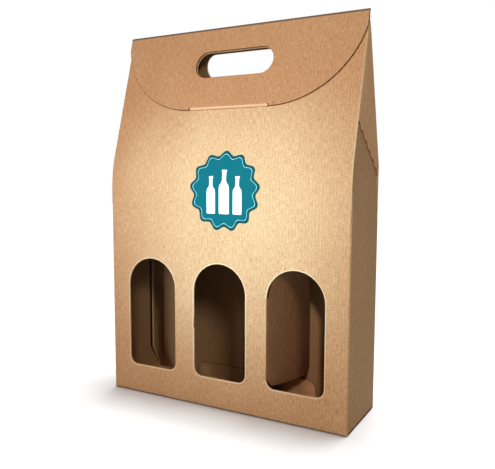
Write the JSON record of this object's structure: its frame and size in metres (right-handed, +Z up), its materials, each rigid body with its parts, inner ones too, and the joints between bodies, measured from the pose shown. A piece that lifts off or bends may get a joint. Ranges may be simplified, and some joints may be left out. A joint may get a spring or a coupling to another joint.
{
  "type": "wine bottle box",
  "caption": "Folded kraft board bottle carrier with arched windows, a gable top, a tuck-in closure flap and a hand hole; window cut-outs fold in as dividers.",
  "frame": {"origin": "middle of the bottom face that the box stands on", "axes": "+X right along the front, -Y towards the front with the windows, +Z up to the ridge"},
  "size_m": [0.264, 0.0793, 0.376],
  "materials": {
    "kraft_board": "unbleached kraft micro-flute board with a linen-embossed face",
    "seal_paper": "matte printed paper seal"
  },
  "bodies": {
    "box": {"carton": "kraft_board", "seal_sticker": "seal_paper"},
    "closure": {"closure_flap": "kraft_board"},
    "left_divider": {"divider_flap_left": "kraft_board"},
    "right_divider": {"divider_flap_right": "kraft_board"},
    "bottom": {"bottom_flap": "kraft_board"}
  },
  "joints": [
    {"name": "closure_fold", "type": "hinge", "parent": "box", "child": "closure", "pos_m": [0, 0, 0.3746], "axis": [-1, 0, 0], "range_deg": [0, 165]},
    {"name": "left_divider_fold", "type": "hinge", "parent": "box", "child": "left_divider", "pos_m": [-0.0515, -0.0379, 0.0875], "axis": [0, 0, -1], "range_deg": [-43, 47]},
    {"name": "right_divider_fold", "type": "hinge", "parent": "box", "child": "right_divider", "pos_m": [0.0515, -0.0379, 0.0875], "axis": [0, 0, 1], "range_deg": [-70, 20]},
    {"name": "bottom_fold", "type": "hinge", "parent": "box", "child": "bottom", "pos_m": [0, -0.0395, 0], "axis": [-1, 0, 0], "range_deg": [0, 110]}
  ]
}
